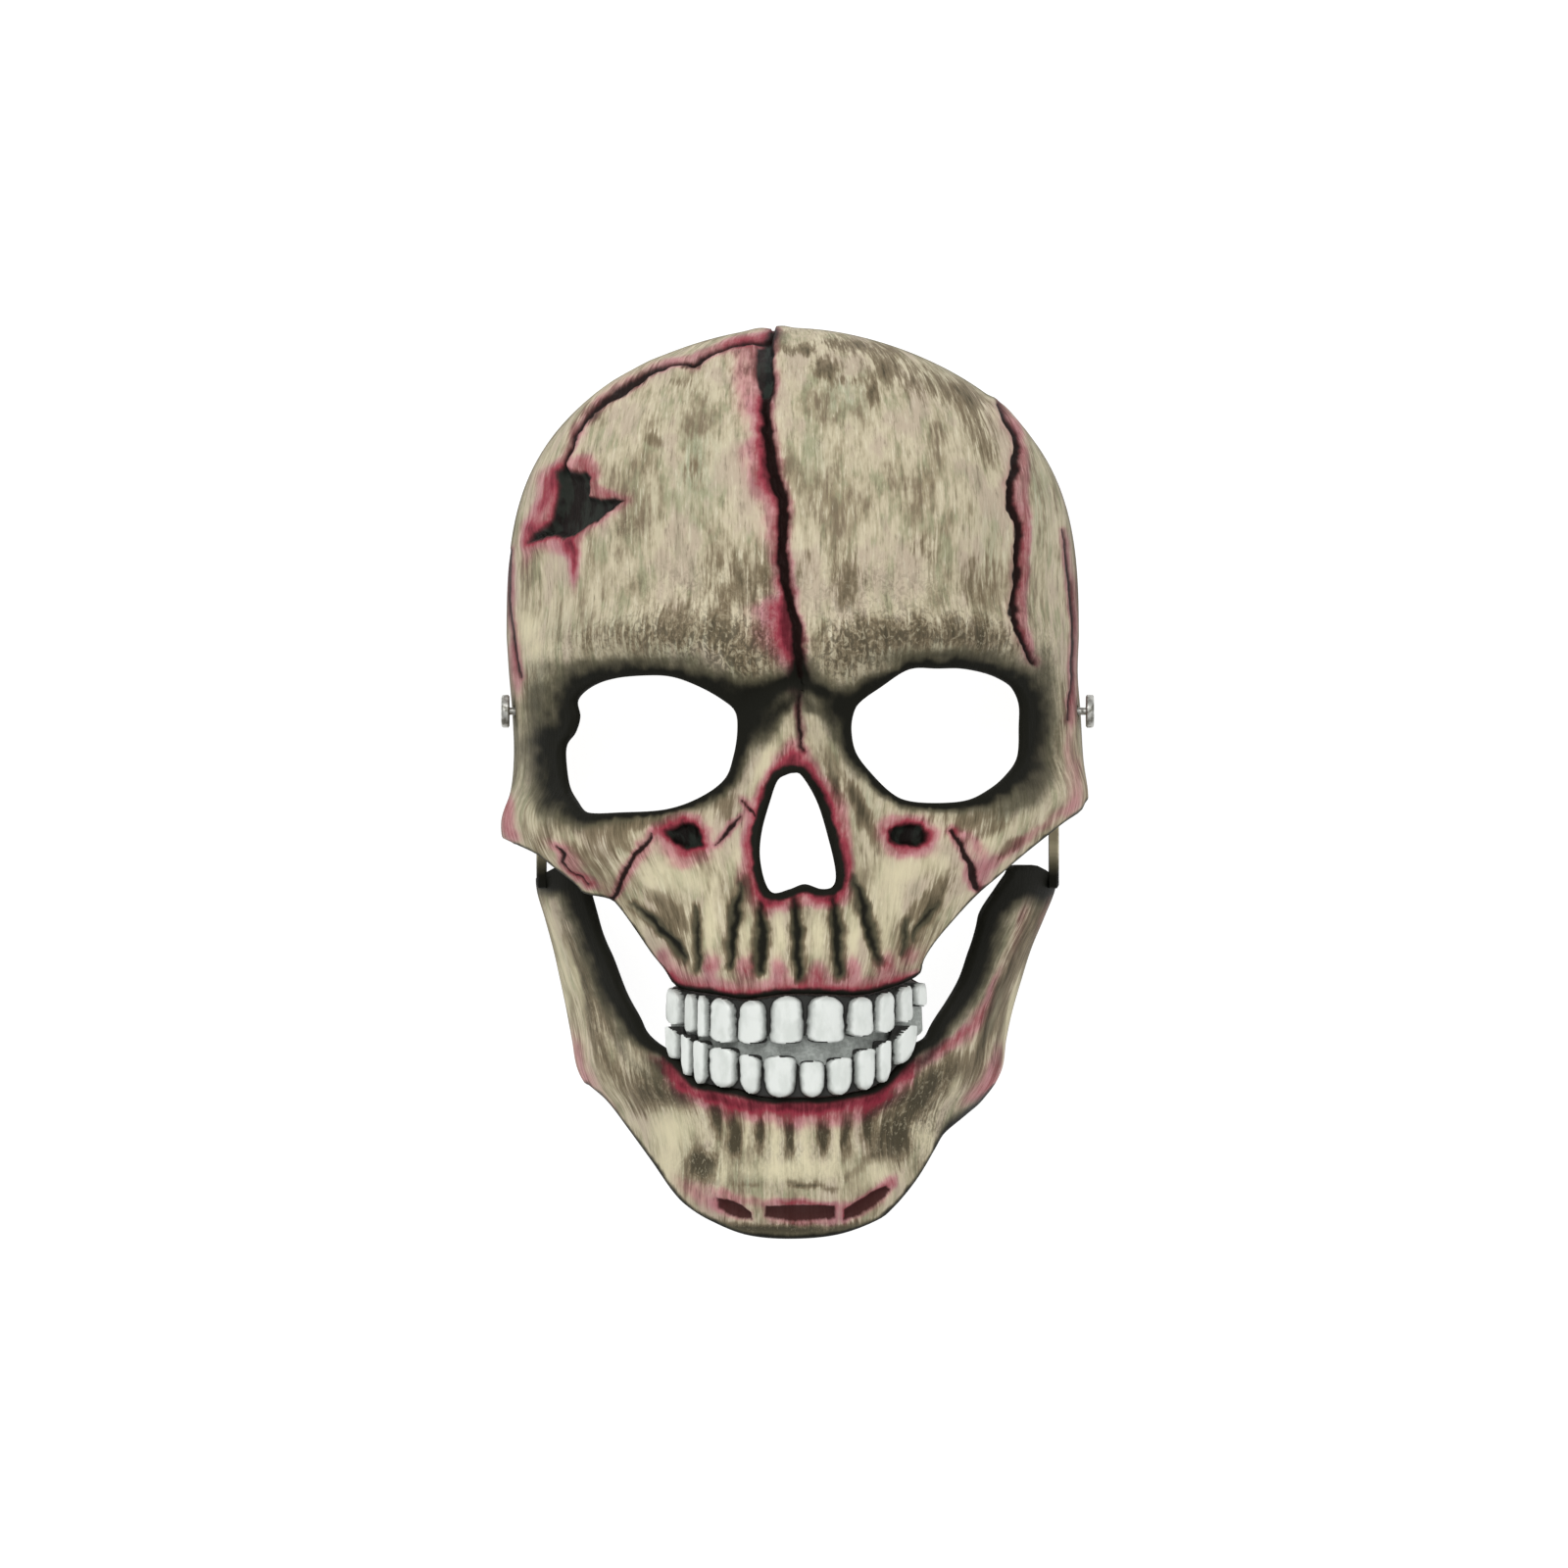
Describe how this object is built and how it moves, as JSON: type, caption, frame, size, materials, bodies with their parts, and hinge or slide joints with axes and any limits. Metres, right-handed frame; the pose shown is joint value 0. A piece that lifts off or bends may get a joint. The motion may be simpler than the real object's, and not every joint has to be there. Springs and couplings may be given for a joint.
{
  "type": "skull mask with hinged jaw",
  "caption": "Full-face skull mask moulded in bone colour, with open eye and nose holes, a row of teeth above and below, and a lower jaw that swings on two temple rivets.",
  "frame": {"origin": "middle of the mask's outline on the plane it rests on, face up on its back rim", "axes": "+Z out of the face, +Y towards the crown, +X towards the right of the picture"},
  "size_m": [0.1824, 0.2796, 0.1087],
  "materials": {
    "painted_bone": "matt paint, dry-brushed",
    "painted_jaw": "matt paint, dry-brushed",
    "upper_teeth_enamel": "satin",
    "lower_teeth_enamel": "satin",
    "grey_gauze": "dull",
    "rivet_left_steel": "worn",
    "rivet_right_steel": "worn"
  },
  "bodies": {
    "face": {"skull_shell": "painted_bone", "upper_teeth": "upper_teeth_enamel", "rivet_left": "rivet_left_steel", "rivet_right": "rivet_right_steel"},
    "jaw": {"jaw_shell": "painted_jaw", "lower_teeth": "lower_teeth_enamel", "mouth_screen": "grey_gauze"}
  },
  "joints": [
    {"name": "jaw_hinge", "type": "hinge", "parent": "face", "child": "jaw", "pos_m": [0, 0.0215, 0.018], "axis": [1, 0, 0], "range_deg": [0, 18]}
  ]
}
